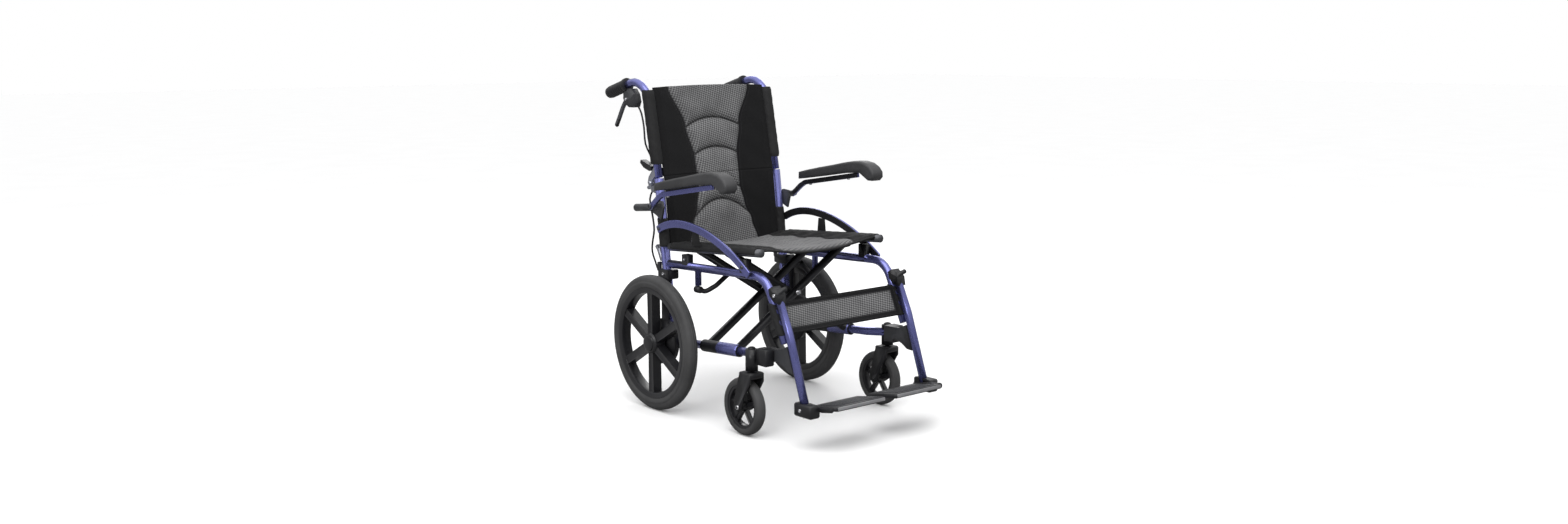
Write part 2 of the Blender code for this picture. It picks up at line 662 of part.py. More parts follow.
def pivot_bolt(name, rear, front):
    """A headed bolt through two crossing brace tubes."""
    middle = (rail_point(-1, 0) + rail_point(1, 0, BRACE_HEIGHT)) / 2
    along = rail_point(1, 1) - rail_point(1, 0)
    reach = TUBE + GAP
    ends = middle + along * (rear - reach), middle + along * (front + reach)
    bolt = rod(name, *ends, 0.0040, STEEL, 16)
    heads = [
        rod(f"{name}_head_{n}", end, end + along * thick, 0.0075, STEEL, 16)
        for n, (end, thick) in enumerate(zip(ends, (-0.004, 0.004)))
    ]
    return combine(bolt, "UNION", *heads)


def seat_sling():
    """The seat: one sagging sheet between the two seat rails."""
    half, thick, steps = 0.1865, 0.005, 8
    shape = bmesh.new()
    ring = []
    for level in (0, 1):
        for n in range(steps + 1):
            x = half * (2 * n / steps - 1) * (1 - 2 * level)
            sag = SEAT_SAG * (1 - (x / half) ** 2)
            rear = rail_point(1, 0.040, BRACE_HEIGHT + 0.012 - level * thick - sag)
            ring.append(shape.verts.new((x, rear.y, rear.z)))
    face = shape.faces.new(ring)
    walls = bmesh.ops.extrude_face_region(shape, geom=[face])
    moved = [part for part in walls["geom"] if isinstance(part, bmesh.types.BMVert)]
    bmesh.ops.translate(shape, verts=moved, vec=rail_point(1, 0.352) - rail_point(1, 0))
    return mesh_object("seat_sling", shape, NYLON)


def back_panel(name, low, high, line, sag):
    """A sheet between the two uprights that bows rearwards, from one height to another."""
    half, thick, steps = 0.1840, 0.012, 8
    shape = bmesh.new()
    ring = []
    for level in (0, 1):
        for n in range(steps + 1):
            x = half * (2 * n / steps - 1) * (1 - 2 * level)
            bow = sag * (1 - (x / half) ** 2)
            ring.append(shape.verts.new(at(x, line(low) - 0.006 + level * thick + bow, low)))
    face = shape.faces.new(ring)
    walls = bmesh.ops.extrude_face_region(shape, geom=[face])
    moved = [part for part in walls["geom"] if isinstance(part, bmesh.types.BMVert)]
    bmesh.ops.translate(shape, verts=moved, vec=(0, line(high) - line(low), high - low))
    return mesh_object(name, shape, NYLON)


def calf_strap():
    """The band across the front tubes behind the calves."""
    top, foot = (-0.4330, 0.3340), (-0.4640, 0.2670)
    half, thick = 0.1860, 0.006
    outline = [top, (top[0] - thick, top[1] - 0.003), (foot[0] - thick, foot[1] - 0.003), foot]
    return plate("calf_strap", outline, -half, half, NYLON)


PIECES = (
    lower_post, side_rail, lower_rail, arc_guard, upper_post, handle_grip, brake_housing, brake_lever,
    armrest_bracket, armrest_bar, armrest_pad, fold_lever, seat_rail, hanger_tube, footrest_bracket,
    caster_fork, caster_wheel, caster_tyre, rear_wheel, rear_tyre, rear_brake, brake_arm, brake_cable,
    footplate_bracket, footplate, link_bar,
)
for word, side in SIDES:
    for piece in PIECES:
        piece(f"{word}_{piece.__name__}", side)

cross_brace("cross_brace_a", -1, BRACE_A)
cross_brace("cross_brace_b", 1, BRACE_B)
pivot_bolt("rear_pivot_bolt", BRACE_B[0], BRACE_A[0])
pivot_bolt("front_pivot_bolt", BRACE_B[1], BRACE_A[1])
seat_sling()
back_panel("back_sling", 0.612, 0.835, upper_post_y, 0.016)
back_panel("back_flap", 0.470, 0.606, lower_post_y, 0.012)
calf_strap()
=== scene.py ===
import json
import math

import bmesh
import bpy
from mathutils import Matrix, Vector


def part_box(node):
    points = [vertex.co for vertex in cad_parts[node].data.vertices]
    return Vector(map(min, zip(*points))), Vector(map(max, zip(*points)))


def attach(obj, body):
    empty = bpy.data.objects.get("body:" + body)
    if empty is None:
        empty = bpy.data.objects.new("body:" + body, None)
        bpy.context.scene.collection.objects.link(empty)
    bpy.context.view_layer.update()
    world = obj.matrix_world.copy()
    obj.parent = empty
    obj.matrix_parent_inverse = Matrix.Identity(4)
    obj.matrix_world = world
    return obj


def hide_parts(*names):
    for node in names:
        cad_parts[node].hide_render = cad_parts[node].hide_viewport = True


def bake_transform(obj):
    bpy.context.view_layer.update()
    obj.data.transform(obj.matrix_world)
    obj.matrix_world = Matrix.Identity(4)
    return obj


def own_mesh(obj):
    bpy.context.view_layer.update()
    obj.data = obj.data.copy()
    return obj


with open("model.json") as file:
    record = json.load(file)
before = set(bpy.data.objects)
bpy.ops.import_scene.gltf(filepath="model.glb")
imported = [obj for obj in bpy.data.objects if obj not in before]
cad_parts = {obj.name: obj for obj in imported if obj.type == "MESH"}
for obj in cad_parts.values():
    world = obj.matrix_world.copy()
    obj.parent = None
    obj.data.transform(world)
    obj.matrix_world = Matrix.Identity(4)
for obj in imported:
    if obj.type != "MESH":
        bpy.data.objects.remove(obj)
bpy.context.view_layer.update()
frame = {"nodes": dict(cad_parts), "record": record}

# The view: a low three-quarter look at the chair's right side and front, under a wide soft ceiling light
# with a weaker one from the front left, on a plain pale floor.
WHEEL_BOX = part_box("right_rear_tyre")
AXLE_Y = (WHEEL_BOX[0][1] + WHEEL_BOX[1][1]) / 2
yaw, pitch, roll = math.radians(39.754), math.radians(8.831), math.radians(-0.276)
look = Vector((math.sin(yaw) * math.cos(pitch), math.cos(yaw) * math.cos(pitch), -math.sin(pitch)))
level = look.cross(Vector((0, 0, 1))).normalized()
upright = level.cross(look)
across = level * math.cos(roll) + upright * math.sin(roll)
above = upright * math.cos(roll) - level * math.sin(roll)
camera_data = bpy.data.cameras.new("camera")
camera_data.lens = 32.078
camera_data.sensor_width = 36
camera = bpy.data.objects.new("camera", camera_data)
camera.matrix_world = Matrix.Translation((-2.2848, -2.978 + AXLE_Y, 0.9471)) @ Matrix(
    (across, above, -look)
).transposed().to_4x4()
bpy.context.collection.objects.link(camera)
bpy.context.scene.camera = camera

for name, place, aim, size, power in (
    ("ceiling_light", (-0.6, -0.9, 2.6), (0, 0, 0.3), 2.2, 34),
    ("front_light", (-2.9, -1.5, 1.8), (0, 0, 0.4), 1.4, 30),
    ("rear_light", (1.9, 2.0, 1.6), (0, 0, 0.5), 1.4, 16),
):
    lamp = bpy.data.lights.new(name, "AREA")
    lamp.size = size
    lamp.energy = power
    holder = bpy.data.objects.new(name, lamp)
    holder.location = place
    holder.rotation_euler = (Vector(aim) - Vector(place)).to_track_quat("-Z", "Y").to_euler()
    bpy.context.collection.objects.link(holder)
bpy.context.scene.view_settings.view_transform = "Standard"


class Shade:
    """A value inside one material's node tree. Sums on it add the nodes that work them out."""

    def __init__(self, tree, socket=None):
        self.tree, self.socket = tree, socket

    def node(self, kind, settings=None, inputs=None, output=0):
        made = self.tree.nodes.new(kind)
        for key, value in (settings or {}).items():
            setattr(made, key, value)
        for key, value in (inputs or {}).items():
            if isinstance(value, Shade):
                self.tree.links.new(value.socket, made.inputs[key])
            else:
                made.inputs[key].default_value = value
        return Shade(self.tree, made.outputs[output])

    def maths(self, operation, *values):
        return self.node("ShaderNodeMath", {"operation": operation}, dict(enumerate(values)))

    def __add__(self, other):
        return self.maths("ADD", self, other)

    def __sub__(self, other):
        return self.maths("SUBTRACT", self, other)

    def __mul__(self, other):
        return self.maths("MULTIPLY", self, other)

    def __truediv__(self, other):
        return self.maths("DIVIDE", self, other)

    def __rsub__(self, other):
        return self.maths("SUBTRACT", other, self)

    __radd__, __rmul__ = __add__, __mul__

    def axis(self, number):
        """One component of a vector value."""
        return self.node("ShaderNodeSeparateXYZ", {}, {0: self}, number)

    def ramp(self, low, high):
        """0 below low, 1 above high, smooth between."""
        return self.node(
            "ShaderNodeMapRange", {"interpolation_type": "SMOOTHSTEP"},
            {0: self, 1: low, 2: high, 3: 0.0, 4: 1.0}
        )

    def blend(self, first, second):
        """A colour that goes from first to second as this value goes from 0 to 1."""
        first = (*first, 1) if isinstance(first, tuple) else first
        second = (*second, 1) if isinstance(second, tuple) else second
        return self.node("ShaderNodeMix", {"data_type": "RGBA"}, {0: self, 6: first, 7: second}, 2)

    def bump(self, strength, distance):
        return self.node("ShaderNodeBump", {}, {"Strength": strength, "Distance": distance, "Height": self})


# The studio is white where the camera looks past the chair. What lights the chair is a bright ceiling
# over darker walls, so that round tubes shade from light on top to dark below.
world = bpy.data.worlds.new("studio")
world.use_nodes = True
air = Shade(world.node_tree)
room = air.node("ShaderNodeTexCoord").axis(2).ramp(-0.1, 0.85).blend((0.30, 0.30, 0.31), (1.28, 1.28, 1.28))
seen = air.node("ShaderNodeLightPath").blend(room, (1.0, 1.0, 1.0))
world.node_tree.links.new(seen.socket, world.node_tree.nodes["Background"].inputs["Color"])
bpy.context.scene.world = world


def start_material(name, **constants):
    """A new material: its shade to build on, and its shader with the constant sockets set."""
    made = bpy.data.materials.new(name)
    made.use_nodes = True
    shader = made.node_tree.nodes["Principled BSDF"]
    for key, value in constants.items():
        shader.inputs[key.replace("_", " ")].default_value = value
    return made, Shade(made.node_tree), shader


def feed(shade, shader, **values):
    for key, value in values.items():
        shade.tree.links.new(value.socket, shader.inputs[key.replace("_", " ")])


def grained(name, colour, roughness, grain=900.0, depth=0.00012, metallic=0.0, mottle=0.12, coat=0.0,
    wear=0.35):
    """A coated, moulded or cast surface: uneven tone and gloss, a fine grain, scuffed here and there."""
    made, shade, shader = start_material(name, Metallic=metallic, Coat_Weight=coat, Specular_IOR_Level=0.38)
    where = shade.node("ShaderNodeTexCoord", output=3)
    cloud = shade.node("ShaderNodeTexNoise", {}, {"Vector": where, "Scale": 14.0, "Detail": 4.0})
    fine = shade.node("ShaderNodeTexNoise", {}, {"Vector": where, "Scale": grain, "Detail": 2.0})
    scuff = shade.node("ShaderNodeTexNoise", {}, {"Vector": where, "Scale": 75.0, "Detail": 5.0}).ramp(0.60,
        0.74)
    low = tuple(c * (1 - mottle) for c in colour)
    high = tuple(c * (1 + mottle) + 0.002 for c in colour)
    tone = cloud.ramp(0.3, 0.7).blend(low, high)
    worn = tuple(min(1.0, c * 1.5 + 0.012) for c in colour)
    feed(
        shade,
        shader,
        Base_Color=(scuff * wear).blend(tone, worn),
        Roughness=roughness + (fine - 0.5) * 0.12 + scuff * 0.08,
        Normal=fine.bump(0.5, depth),
    )
    return made


# The frame: round aluminium tube, bent cold and anodised a violet blue. The brackets on it are castings and
# mouldings in black and grey, and the bolts are bright steel.
ANODISED = grained("violet_anodised", (0.150, 0.158, 0.400), 0.26, 1400.0, 0.00004, 0.82, 0.06, 0.25, 0.06)
BLACK_COAT = grained("black_powder_coat", (0.012, 0.012, 0.014), 0.36, 1100.0, 0.00012, 0.15)
SILVER = grained("silver_casting", (0.36, 0.37, 0.42), 0.33, 800.0, 0.00012, 0.85)
STEEL = grained("bright_steel", (0.62, 0.62, 0.64), 0.2, 1500.0, 0.00003, 1.0)
GUNMETAL = grained("dull_grey_metal", (0.085, 0.087, 0.095), 0.4, 900.0, 0.00012, 0.6)
BLACK_PLASTIC = grained("black_plastic", (0.010, 0.010, 0.012), 0.42, 1000.0, 0.00018)
GREY_PLASTIC = grained("grey_plastic", (0.036, 0.037, 0.041), 0.44, 1000.0, 0.00018)

SIDES = (("right", -1), ("left", 1))
FRAME_X = 0.198


def object_from(name, shape, *materials, angle=35):
    """A finished piece from a bmesh, smooth but for its sharp edges."""
    bmesh.ops.remove_doubles(shape, verts=shape.verts, dist=1e-6)
    bmesh.ops.recalc_face_normals(shape, faces=shape.faces)
    mesh = bpy.data.meshes.new(name)
    shape.to_mesh(mesh)
    shape.free()
    mesh.shade_smooth()
    mesh.set_sharp_from_angle(angle=math.radians(angle))
    for surface in materials:
        mesh.materials.append(surface)
    made = bpy.data.objects.new(name, mesh)
    bpy.context.collection.objects.link(made)
    return made


def dressed(node, surface, *painted, angle=38, cuts=(), rides=True):
    """A smooth copy of a CAD node in its own finish, with other finishes where a test on y, z and x says so.

    Each cut is a place along Y from the axle where the copy's long faces are divided."""
    shape = bmesh.new()
    shape.from_mesh(frame["nodes"][node].data)
    bmesh.ops.remove_doubles(shape, verts=shape.verts, dist=2e-6)
    bmesh.ops.dissolve_limit(shape, angle_limit=math.radians(0.6), verts=shape.verts, edges=shape.edges)
    for place in cuts:
        parts = shape.verts[:] + shape.edges[:] + shape.faces[:]
        bmesh.ops.bisect_plane(shape, geom=parts, plane_co=(0, place + AXLE_Y, 0), plane_no=(0, 1, 0))
    for face in shape.faces:
        middle = face.calc_center_median()
        for number, (_, test) in enumerate(painted, 1):
            if test(middle.y - AXLE_Y, middle.z, abs(middle.x)):
                face.material_index = number
    bmesh.ops.triangulate(shape, faces=shape.faces, ngon_method="EAR_CLIP")
    made = object_from(node + "_finish", shape, surface, *(paint for paint, _ in painted), angle=angle)
    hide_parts(node)
    if rides:
        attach(made, body_of_node(node))
    return made


def body_of_node(node):
    return next(body for body, nodes in frame["record"]["behaviour"]["bodies"].items() if node in nodes)


def beside_tube(y, z):
    """How far a point is behind the rear upright's centre line."""
    return y - (0.007 + (z - 0.324) * 0.125)


def beside_upper(y, z):
    return y - (0.0425 + (z - 0.6045) * 0.195)


for word, side in SIDES:
    dressed(
        f"{word}_lower_post",
        ANODISED,
        (BLACK_COAT, lambda y, z, x: z < 0.1985 and x < 0.2125),
        (STEEL, lambda y, z, x: x > 0.2124 and z < 0.2),
        (BLACK_PLASTIC, lambda y, z, x: beside_tube(y, z) > 0.0345 and z < 0.5815 and z > 0.5685),
        (SILVER, lambda y, z, x: beside_tube(y, z) > 0.0129 and z > 0.556),
    )
    dressed(
        f"{word}_side_rail",
        ANODISED,
        (BLACK_PLASTIC, lambda y, z, x: z > 0.4035 - 0.02 * y and y > -0.34),
        (BLACK_PLASTIC, lambda y, z,
        x: abs(x - FRAME_X) < 0.0101 and z > 0.386 and abs(y + 0.201) > 0.105 and y > -0.34),
    )
    dressed(f"{word}_lower_rail", ANODISED, (BLACK_COAT, lambda y, z, x: x > 0.2115))
    dressed(
        f"{word}_upper_post",
        ANODISED,
        (SILVER, lambda y, z, x: z < 0.640 and abs(beside_upper(y, z)) > 0.0116),
    )
    dressed(
        f"{word}_hanger_tube",
        ANODISED,
        (BLACK_PLASTIC, lambda y, z, x: y > -0.480 and z > 0.336 + 3 * max(0, -0.466 - y)),
    )
    dressed(f"{word}_footrest_bracket", GREY_PLASTIC, (BLACK_PLASTIC, lambda y, z,
        x: x > 0.2045 or y > -0.4405))
    dressed(f"{word}_armrest_bracket", GREY_PLASTIC)
    dressed(f"{word}_seat_rail", GUNMETAL, (BLACK_PLASTIC, lambda y, z, x: y < -0.393))
    dressed(f"{word}_link_bar", BLACK_COAT)
    dressed(f"{word}_rear_brake", BLACK_COAT)
    dressed(f"{word}_brake_arm", SILVER)
    dressed(f"{word}_fold_lever", BLACK_PLASTIC)
    dressed(f"{word}_brake_housing", GREY_PLASTIC)
    dressed(f"{word}_brake_lever", GUNMETAL, (BLACK_PLASTIC, lambda y, z, x: z < 0.7405))
    dressed(f"{word}_caster_fork", BLACK_COAT, (STEEL, lambda y, z, x: z > 0.1632))
    dressed(f"{word}_footplate_bracket", BLACK_PLASTIC)
    cable = dressed(f"{word}_brake_cable", BLACK_PLASTIC, angle=80, rides=False)
    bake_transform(cable)


# The two crossing braces are black coated steel tube, each pair welded to a sleeve that turns on the
# lower rail.
for brace, place in (("cross_brace_a", -0.216), ("cross_brace_b", -0.192)):
    dressed(
        brace,
        BLACK_COAT,
        (ANODISED, lambda y, z,
        x: place - 0.078 < y < place and abs(x - FRAME_X) < 0.0161 and z < 0.197 - 0.065 * y),
        cuts=(place, place - 0.072),
    )
for bolt in ("rear_pivot_bolt", "front_pivot_bolt"):
    dressed(bolt, STEEL)


# The arched guards over the rear wheels and the cranked arm bars: flat violet bar with rounded edges.
# The thin black sheet on each bar's seat-side face is painted shade that darkens the far side's bars, seen
# from the seat side.
def side_bar(name, line, depth, x_low, x_high, bevel, surface):
    """A flat bar of even depth along (y, z) points from the axle, between two places across the chair."""
    shape = bmesh.new()
    above_line, below_line = [], []
    for n, point in enumerate(line):
        along = (line[min(n + 1, len(line) - 1)] - line[max(n - 1, 0)]).normalized()
        away = Vector((-along.y, along.x)) * depth / 2
        above_line.append(point + away)
        below_line.append(point - away)
    ring = above_line + below_line[::-1]
    face = shape.faces.new([shape.verts.new((x_low, p.x + AXLE_Y, p.y)) for p in ring])
    grown = bmesh.ops.extrude_face_region(shape, geom=[face])
    moved = [v for v in grown["geom"] if isinstance(v, bmesh.types.BMVert)]
    bmesh.ops.translate(shape, verts=moved, vec=(x_high - x_low, 0, 0))
    bmesh.ops.recalc_face_normals(shape, faces=shape.faces)
    rims = [e for e in shape.edges if e.calc_length() < abs(x_high - x_low) * 0.999 or not e.is_manifold
            or e.calc_face_angle(0) > 1.2]
    bmesh.ops.bevel(shape, geom=rims, offset=bevel, segments=3, profile=0.5, affect="EDGES", material=-1,
                    clamp_overlap=True)
    return object_from(name, shape, surface, angle=50)


def curve_points(points, count):
    a, b, c, d = (Vector(point) for point in points)
    found = []
    for step in range(count + 1):
        t = step / count
        found.append(a * (1 - t) ** 3 + b * 3 * (1 - t) ** 2 * t + c * 3 * (1 - t) * t * t + d * t**3)
    return found


ARCH = ((0.024, 0.470), (-0.06, 0.518), (-0.22, 0.496), (-0.358, 0.396))
for word, side in SIDES:
    inner, outer = side * 0.2137, side * 0.2202
    arch = side_bar(f"{word}_arch", curve_points(ARCH, 28), 0.020, inner, outer, 0.0022, ANODISED)
    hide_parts(f"{word}_arc_guard")
    # Painted shade: a black sheet on the arch's seat-side face stands in for the shade on the far arch.
    arch_shade_sheet = side_bar(
        f"{word}_arch_inner_shade", curve_points(ARCH, 28), 0.0185, side * 0.2112, side * 0.2139, 0.0008,
        BLACK_PLASTIC
    )
    for piece in (arch, arch_shade_sheet):
        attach(piece, f"{word}_frame")

ARM_LINE = [Vector(p) for p in ((0.022, 0.530), (-0.018, 0.560), (-0.036, 0.5695), (-0.252, 0.6045))]
for word, side in SIDES:
    arm = side_bar(f"{word}_arm", ARM_LINE, 0.0135, side * 0.2385, side * 0.2460, 0.0018, ANODISED)
    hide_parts(f"{word}_armrest_bar")
    # Painted shade: a black sheet on the arm bar's seat-side face stands in for the shade on the far arm
    # bar.
    arm_inner_shade = side_bar(f"{word}_arm_inner_shade", ARM_LINE, 0.0125, side * 0.2360, side * 0.2387, 0.0008,
        BLACK_PLASTIC)
    for piece in (arm, arm_inner_shade):
        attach(piece, f"{word}_armrest")


# The arm pads are soft skinned foam moulded over the bar: a long flat top, round edges and a fat drooping
# nose, held by two screws from below.
PAD_SKIN = grained("arm_pad_skin", (0.036, 0.036, 0.038), 0.55, 650.0, 0.0003, 0.0, 0.15)
PAD_OUTLINE = (
    (-0.024, 0.579), (-0.025, 0.599), (-0.060, 0.607), (-0.110, 0.617), (-0.160, 0.626), (-0.205, 0.635),
    (-0.245, 0.6415), (-0.272, 0.6425), (-0.296, 0.639), (-0.315, 0.630), (-0.327, 0.617), (-0.3285, 0.603),
    (-0.319, 0.5935), (-0.304, 0.5935), (-0.290, 0.601), (-0.270, 0.612), (-0.205, 0.6065),
    (-0.110, 0.5915),
)
for word, side in SIDES:
    shape = bmesh.new()
    face = shape.faces.new([shape.verts.new((side * 0.2225, y + AXLE_Y, z)) for y, z in PAD_OUTLINE])
    grown = bmesh.ops.extrude_face_region(shape, geom=[face])
    moved = [v for v in grown["geom"] if isinstance(v, bmesh.types.BMVert)]
    bmesh.ops.translate(shape, verts=moved, vec=(side * 0.040, 0, 0))
    bmesh.ops.recalc_face_normals(shape, faces=shape.faces)
    rims = [e for e in shape.edges if e.calc_length() != 0 and abs(e.verts[0].co.x - e.verts[1].co.x) < 1e-6]
    bmesh.ops.bevel(shape, geom=rims, offset=0.0068, segments=5, profile=0.5, affect="EDGES", material=-1)
    pad = object_from(f"{word}_pad", shape, PAD_SKIN, angle=70)
    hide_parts(f"{word}_armrest_pad")
    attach(pad, f"{word}_armrest")


def turned_piece(name, profile, centre, axis, steps, *materials, angle=40):
    """A ring or disc: closed (radius, along) points spun about an axis through a centre."""
    axis = Vector(axis).normalized()
    out = axis.orthogonal().normalized()
    shape = bmesh.new()
    points = [shape.verts.new(Vector(centre) + axis * along + out * radius) for radius, along in profile]
    edges = [shape.edges.new(pair) for pair in zip(points, points[1:] + points[:1])]
    bmesh.ops.spin(shape, geom=points + edges, cent=centre, axis=axis, angle=math.tau, steps=steps,
        use_merge=True)
    return object_from(name, shape, *materials, angle=angle)


# Bolts and screws: domed heads with a round sunk socket, each on its own seat.
def bolt_head(name, centre, axis, radius, body, surface=None):
    profile = [
        (0.0, -0.001), (radius, -0.001), (radius, radius * 0.25), (radius * 0.86, radius * 0.52),
        (radius * 0.55, radius * 0.62), (radius * 0.5, radius * 0.3), (0.0, radius * 0.3),
    ]
    head = turned_piece(name, [(max(r, 1e-5), a) for r, a in profile], centre, axis, 20, surface or STEEL)
    "grey_metal" if surface == GUNMETAL else "black_plastic" if surface else "bright_steel"
    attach(head, body)
    return head


OUT, UP, DOWN = "out", (0, 0, 1), (0, 0, -1)
BOLTS = (
    ("arm_pivot_bolt", (0.2462, 0.016, 0.535), OUT, 0.0072, "armrest", GUNMETAL),
    ("pad_screw_0", (0.241, -0.059, 0.5663), DOWN, 0.0042, "armrest", None),
    ("pad_screw_1", (0.241, -0.214, 0.59141), DOWN, 0.0042, "armrest", None),
    ("arch_bolt_0", (0.2202, 0.016, 0.4735), OUT, 0.0048, "frame", GUNMETAL),
    ("arch_bolt_1", (0.2202, -0.335, 0.4135), OUT, 0.0048, "frame", GUNMETAL),
    ("saddle_bolt_0", (0.2082, -0.080, 0.40246), OUT, 0.0036, "frame", None),
    ("saddle_bolt_1", (0.2082, -0.322, 0.405364), OUT, 0.0036, "frame", None),
    ("clamp_bolt", (0.2112, -0.4475, 0.357), OUT, 0.0048, "frame", None),
    ("foot_bolt", (0.2146, -0.545, 0.096), OUT, 0.0046, "frame", None),
    ("brake_bolt", (0.2142, 0.007, 0.3545), OUT, 0.0048, "frame", None),
    ("lever_bolt", (0.2092, 0.174, 0.806), OUT, 0.0042, "back", None),
    ("stem_nut", (0.228, -0.381, 0.2195), UP, 0.0095, "frame", BLACK_PLASTIC),
)
for word, side in SIDES:
    for name, (x, y, z), facing, radius, body, surface in BOLTS:
        axis = (side, 0, 0) if facing == OUT else facing
        bolt_head(f"{word}_{name}", (side * x, y + AXLE_Y, z), axis, radius, f"{word}_{body}", surface)


# The push grips are ribbed black mouldings pressed on the handle's end behind a wide collar.
for word, side in SIDES:
    along = Vector((0, math.cos(math.radians(15)), -math.sin(math.radians(15))))
    start = Vector((side * FRAME_X, 0.1790 + AXLE_Y, 0.8448))
    profile = [(1e-5, 0.0), (0.0176, 0.0), (0.0185, 0.0018), (0.0185, 0.0095), (0.0172, 0.0122),
        (0.0152, 0.0142)]
    for n in range(8):
        base = 0.0165 + n * 0.0088
        profile += [(0.0147, base), (0.0165, base + 0.0020), (0.0165, base + 0.0052),
            (0.0147, base + 0.0072)]
    profile += [(0.0154, 0.0895), (0.0150, 0.0925), (0.0122, 0.0950), (0.0070, 0.0960), (1e-5, 0.0960)]
    grip = turned_piece(f"{word}_grip", profile, start, along, 40, BLACK_PLASTIC, angle=50)
    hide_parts(f"{word}_handle_grip")
    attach(grip, f"{word}_back")


# The wheels: grey solid tyres with a shallow rib, on black moulded wheels of six deep spokes behind,
# and five narrow ones in front. Each has a domed hub cap.
TYRE = grained("tyre_rubber", (0.048, 0.048, 0.049), 0.62, 500.0, 0.0003, 0.0, 0.16)
WHEEL_PLASTIC = grained("wheel_plastic", (0.012, 0.012, 0.014), 0.32, 900.0, 0.00012, 0.0, 0.12, 0.1)


def wheel_spoke(shape, centre, turn, inner, outer, root, tip, depth, sunk):
    """One tapered spoke with a sunk face between its two edges."""
    made = bmesh.ops.create_cube(shape, size=1)["verts"]
    for vert in made:
        far = vert.co.z > 0
        width = tip if far else root
        vert.co = Vector((vert.co.x * depth, vert.co.y * width, outer if far else inner))
    faces = {face for vert in made for face in vert.link_faces}
    broad = [
        face for face in faces if abs(face.normal.x) > 0.9 or abs(face.calc_center_median().x) > depth * 0.49
    ]
    bmesh.ops.inset_individual(shape, faces=broad, thickness=root * 0.2, depth=-sunk, use_even_offset=True)
    for vert in [vert for vert in shape.verts if not vert.tag]:
        vert.co = centre + Matrix.Rotation(turn, 3, "X") @ vert.co
        vert.tag = True


def moulded_wheel(name, centre, rim, count, inner, outer, root, tip, depth, hub, surface, steps):
    shape = bmesh.new()
    points = [shape.verts.new(centre + Vector((along, 0, radius))) for radius, along in rim]
    edges = [shape.edges.new(pair) for pair in zip(points, points[1:] + points[:1])]
    bmesh.ops.spin(shape, geom=points + edges, cent=centre, axis=(1, 0, 0), angle=math.tau, steps=steps,
        use_merge=True)
    points = [shape.verts.new(centre + Vector((along, 0, radius))) for radius, along in hub]
    edges = [shape.edges.new(pair) for pair in zip(points, points[1:] + points[:1])]
    bmesh.ops.spin(shape, geom=points + edges, cent=centre, axis=(1, 0, 0), angle=math.tau, steps=48,
        use_merge=True)
    for vert in shape.verts:
        vert.tag = True
    for n in range(count):
        wheel_spoke(shape, centre, math.tau * n / count, inner, outer, root, tip, depth, 0.0022)
    return object_from(name, shape, surface, angle=30)


HUB = (
    (0.0065, -0.016), (0.025, -0.016), (0.027, -0.014), (0.027, 0.013), (0.024, 0.0175), (0.0215, 0.0185),
    (0.0205, 0.0215), (0.017, 0.0232), (0.009, 0.024), (1e-5, 0.024), (1e-5, 0.0195), (0.0065, 0.0195),
)
for word, side in SIDES:
    centre = Vector((side * 0.251, AXLE_Y, 0.178))
    tread = [
        (0.1469, -0.0155), (0.1515, -0.0168), (0.1565, -0.0175), (0.1600, -0.0172), (0.1606, -0.0166),
        (0.1640, -0.0165),
        (0.1690, -0.0155), (0.1735, -0.0132), (0.1768, -0.0090), (0.1779, -0.0050), (0.1770, -0.0042),
        (0.1770, -0.0030),
        (0.1780, -0.0022), (0.1780, 0.0022), (0.1770, 0.0030), (0.1770, 0.0042), (0.1779, 0.0050),
        (0.1768, 0.0090),
        (0.1735, 0.0132), (0.1690, 0.0155), (0.1640, 0.0165), (0.1606, 0.0166), (0.1600, 0.0172),
        (0.1565, 0.0175),
        (0.1515, 0.0168), (0.1469, 0.0155),
    ]
    tyre = turned_piece(f"{word}_tyre", tread, centre, (1, 0, 0), 120, TYRE, angle=60)
    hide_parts(f"{word}_rear_tyre")
    rim = [
        (0.1310, -0.0105), (0.1322, -0.0140), (0.1350, -0.0156), (0.1466, -0.0160), (0.1466, 0.0160),
        (0.1350, 0.0156),
        (0.1322, 0.0140), (0.1310, 0.0105),
    ]
    hub = [(radius, side * along) for radius, along in HUB]
    wheel = moulded_wheel(f"{word}_wheel", centre, rim, 6, 0.019, 0.1335, 0.020, 0.022, 0.026, hub,
        WHEEL_PLASTIC, 120)
    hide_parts(f"{word}_rear_wheel")
    for piece in (tyre, wheel):
        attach(piece, f"{word}_rear_wheel")

    centre = Vector((side * 0.228, -0.352 + AXLE_Y, 0.072))
    tread = [
        (0.0549, -0.0115), (0.0590, -0.0127), (0.0640, -0.0130), (0.0678, -0.0116), (0.0702, -0.0086),
        (0.0715, -0.0052),
        (0.0720, -0.0020), (0.0720, 0.0020), (0.0715, 0.0052), (0.0702, 0.0086), (0.0678, 0.0116),
        (0.0640, 0.0130),
        (0.0590, 0.0127), (0.0549, 0.0115),
    ]
    tyre = turned_piece(f"{word}_small_tyre", tread, centre, (1, 0, 0), 88, TYRE, angle=60)
    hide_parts(f"{word}_caster_tyre")
    rim = [(0.0470, -0.0070), (0.0480, -0.0094), (0.0545, -0.0100), (0.0545, 0.0100), (0.0480, 0.0094),
        (0.0470, 0.0070)]
    hub = [(0.0045, -0.0165), (0.0110, -0.0165), (0.0130, -0.0145), (0.0130, 0.0145), (0.0110, 0.0165),
        (0.0045, 0.0165)]
    wheel = moulded_wheel(f"{word}_small_wheel", centre, rim, 5, 0.008, 0.0490, 0.0105, 0.0115, 0.010, hub,
        WHEEL_PLASTIC, 88)
    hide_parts(f"{word}_caster_wheel")
    for piece in (tyre, wheel):
        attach(piece, f"{word}_caster_wheel")
    bolt_head(f"{word}_caster_axle_nut", (side * 0.2503, -0.352 + AXLE_Y, 0.072), (side, 0, 0), 0.0062,
        f"{word}_caster_fork")


